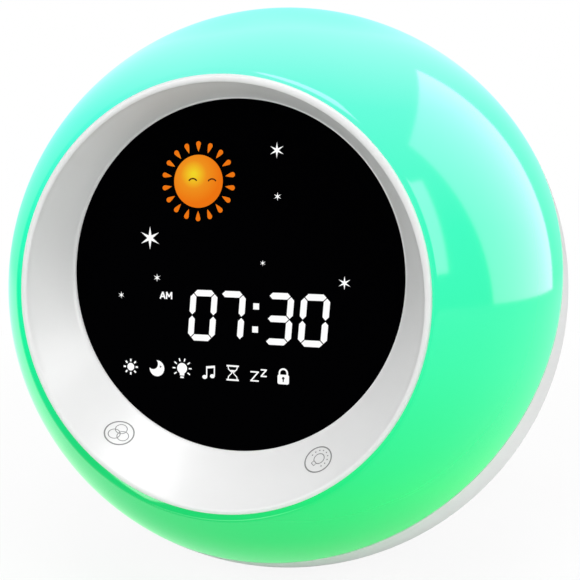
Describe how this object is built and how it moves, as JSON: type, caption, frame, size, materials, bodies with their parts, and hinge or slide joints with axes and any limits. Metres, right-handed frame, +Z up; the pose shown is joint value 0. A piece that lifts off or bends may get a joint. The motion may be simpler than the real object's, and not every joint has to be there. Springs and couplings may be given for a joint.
{
  "type": "alarm clock",
  "caption": "Ball-shaped children's bedside alarm clock: round recessed lit display, glowing translucent front shell as night light, and a white rear shell with speaker and buttons.",
  "frame": {"origin": "centre of the underside of the rubber foot, on the surface the clock stands on", "axes": "+Z up, the display faces -Y, +X to the right of a person looking at the display"},
  "size_m": [0.15, 0.1205, 0.1458],
  "materials": {
    "lamp_shell": "translucent, glowing",
    "white_case": "satin white",
    "smoked_window": "clear smoked, gloss",
    "white_inner": "matt white",
    "white_diffuser": "milky, lit from behind",
    "amber_diffuser": "milky, lit from behind",
    "circuit_board": "green solder mask",
    "chip_light": "phosphor",
    "copper_foil": "copper foil",
    "screw_steel": "zinc plated",
    "foot_rubber": "matt",
    "black_plastic": "matt black",
    "socket_steel": "nickel plated",
    "basket_steel": "zinc plated",
    "cone_paper": "black paper",
    "magnet_iron": "sintered",
    "foam": "foam",
    "cell_case": "green wrap",
    "button_white": "satin"
  },
  "bodies": {
    "clock": {"back_shell": "white_case", "battery_cell": "cell_case", "battery_contacts": "socket_steel", "battery_holder": "black_plastic", "board_chips": "black_plastic", "board_screws": "screw_steel", "case_screws": "screw_steel", "chassis": "white_inner", "digit_diffusers": "white_diffuser", "display_board": "circuit_board", "display_housing": "white_inner", "display_lights": "chip_light", "display_screws": "screw_steel", "display_window": "smoked_window", "front_bezel": "white_case", "holder_screws": "screw_steel", "icon_diffusers": "white_diffuser", "key_switches": "black_plastic", "lamp_board": "circuit_board", "lamp_lights": "chip_light", "lamp_shell": "lamp_shell", "lamp_shell_screws": "screw_steel", "light_block": "white_inner", "main_board": "circuit_board", "power_socket": "socket_steel", "rubber_foot": "foot_rubber", "slide_switch_body": "black_plastic", "socket_tongue": "black_plastic", "speaker_basket": "basket_steel", "speaker_cone": "cone_paper", "speaker_gasket": "foam", "speaker_magnet": "magnet_iron", "speaker_screws": "screw_steel", "star_diffusers": "white_diffuser", "sun_diffusers": "amber_diffuser", "touch_foils": "copper_foil"},
    "wake_key": {"wake_button": "button_white", "wake_plunger": "black_plastic"},
    "clock_key": {"clock_button": "button_white", "clock_plunger": "black_plastic"},
    "sound_key": {"sound_button": "button_white", "sound_plunger": "black_plastic"},
    "timer_key": {"timer_button": "button_white", "timer_plunger": "black_plastic"},
    "down_key": {"down_button": "button_white", "down_plunger": "black_plastic"},
    "up_key": {"up_button": "button_white", "up_plunger": "black_plastic"},
    "power_slider": {"slide_switch_knob": "black_plastic"}
  },
  "joints": [
    {"name": "wake_press", "type": "slide", "parent": "clock", "child": "wake_key", "axis": [0, -1, 0], "range_m": [0, 0.0008], "stiffness_N_per_m": 2000},
    {"name": "clock_press", "type": "slide", "parent": "clock", "child": "clock_key", "axis": [0, -1, 0], "range_m": [0, 0.0008], "stiffness_N_per_m": 2000},
    {"name": "sound_press", "type": "slide", "parent": "clock", "child": "sound_key", "axis": [0, -1, 0], "range_m": [0, 0.0008], "stiffness_N_per_m": 2000},
    {"name": "timer_press", "type": "slide", "parent": "clock", "child": "timer_key", "axis": [0, -1, 0], "range_m": [0, 0.0008], "stiffness_N_per_m": 2000},
    {"name": "down_press", "type": "slide", "parent": "clock", "child": "down_key", "axis": [0, -1, 0], "range_m": [0, 0.0008], "stiffness_N_per_m": 2000},
    {"name": "up_press", "type": "slide", "parent": "clock", "child": "up_key", "axis": [0, -1, 0], "range_m": [0, 0.0008], "stiffness_N_per_m": 2000},
    {"name": "power_slide", "type": "slide", "parent": "clock", "child": "power_slider", "axis": [-1, 0, 0], "range_m": [0, 0.002]}
  ]
}
